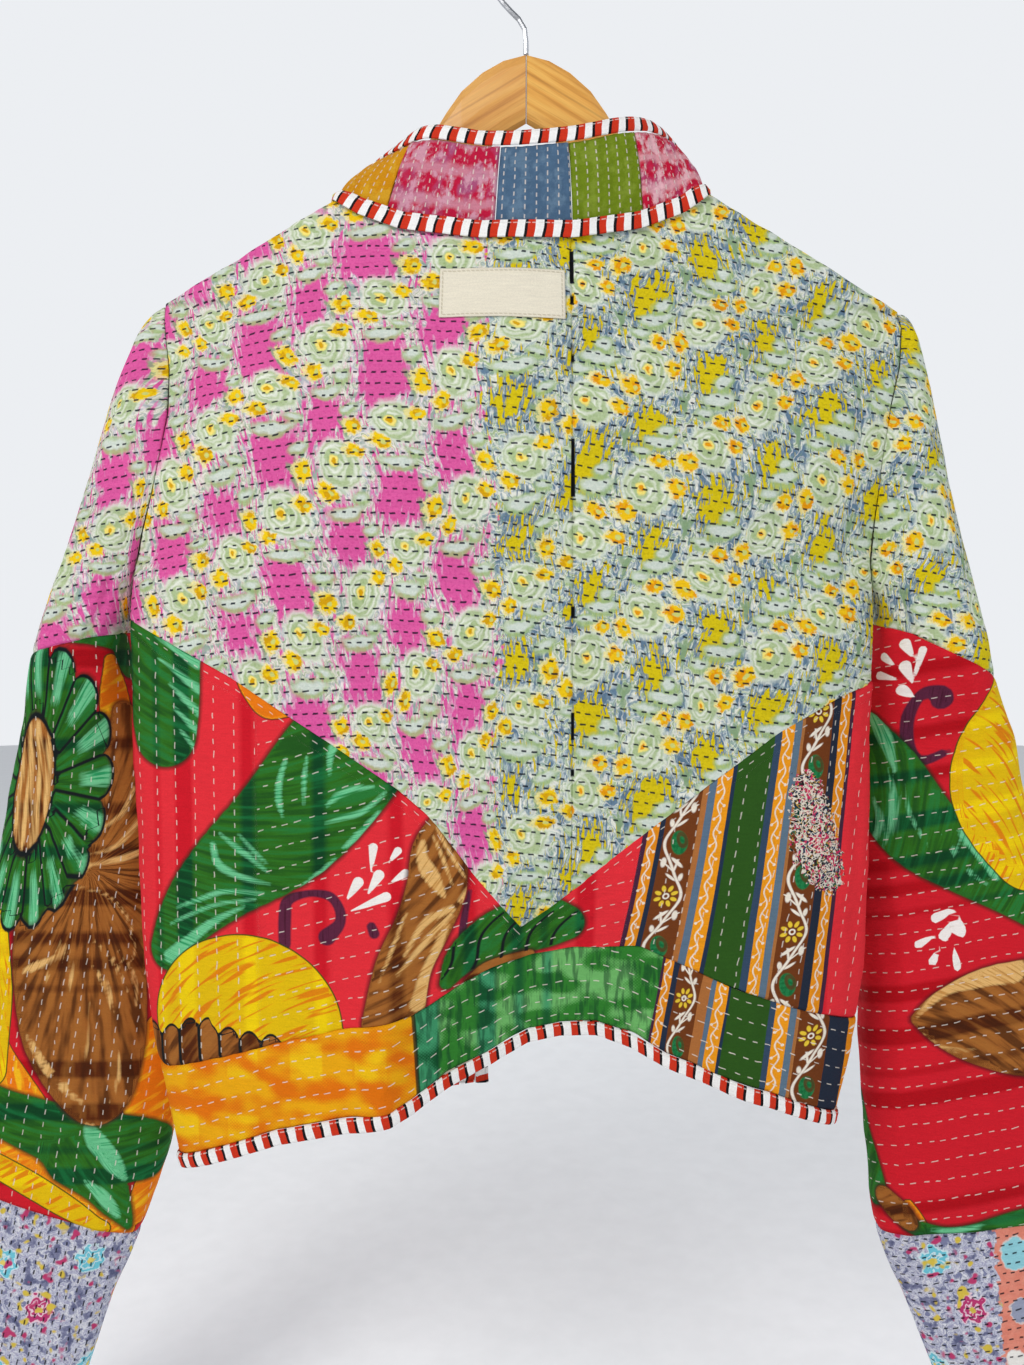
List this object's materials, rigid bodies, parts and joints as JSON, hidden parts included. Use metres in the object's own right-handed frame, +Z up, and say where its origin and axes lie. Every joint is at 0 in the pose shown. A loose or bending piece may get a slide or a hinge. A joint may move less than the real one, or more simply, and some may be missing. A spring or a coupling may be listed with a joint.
{
  "type": "kantha jacket on a wooden hanger",
  "caption": "Quilted patchwork cotton jacket with a V back yoke, stand collar, striped binding and long sleeves, hanging open on a contoured wooden hanger with a wire hook",
  "frame": {"origin": "inside of the crown of the hanger's hook, where it hangs on a rail or peg", "axes": "+Z up, +X to the right as the pictured back is seen, the jacket's back faces -Y and its open front faces +Y"},
  "size_m": [0.748, 0.1406, 0.8911],
  "materials": {
    "pink_floral": "matt quilted cotton, rose print on pink",
    "blue_floral": "matt quilted cotton, rose print on steel blue",
    "leaf_print": "soft matt sari cotton, large leaves on red",
    "green_print": "soft matt sari cotton, green with a border",
    "grey_floral": "matt quilted cotton, flowers on grey lavender",
    "mustard_patch": "plain mustard cotton with running stitch",
    "pink_patch": "tie dyed plum pink cotton with running stitch",
    "slate_patch": "plain slate blue cotton with running stitch",
    "olive_patch": "plain olive cotton with running stitch",
    "crimson_patch": "tie dyed crimson cotton with running stitch",
    "striped_binding": "folded cotton strip striped white, black and red",
    "label_tape": "blank woven cotton tape",
    "maple": "clear lacquered pale hardwood",
    "steel_wire": "drawn steel wire"
  },
  "bodies": {
    "root": {"back_yoke_left": "pink_floral", "back_yoke_right": "blue_floral", "back_lower": "leaf_print", "back_band": "green_print", "back_hem_binding": "striped_binding", "label": "label_tape", "collar_mustard": "mustard_patch", "collar_pink": "pink_patch", "collar_slate": "slate_patch", "collar_olive": "olive_patch", "collar_crimson": "crimson_patch", "collar_top_binding": "striped_binding", "neck_binding": "striped_binding", "front_upper_left": "pink_floral", "front_lower_left": "leaf_print", "front_band_left": "green_print", "front_hem_binding_left": "striped_binding", "front_edge_binding_left": "striped_binding", "front_upper_right": "blue_floral", "front_lower_right": "leaf_print", "front_band_right": "green_print", "front_hem_binding_right": "striped_binding", "front_edge_binding_right": "striped_binding", "sleeve_left_upper": "pink_floral", "sleeve_left_middle": "leaf_print", "sleeve_left_lower": "grey_floral", "sleeve_right_upper": "blue_floral", "sleeve_right_middle": "leaf_print", "sleeve_right_lower": "grey_floral", "hanger_left": "maple", "hanger_right": "maple", "hook": "steel_wire"}
  },
  "joints": []
}
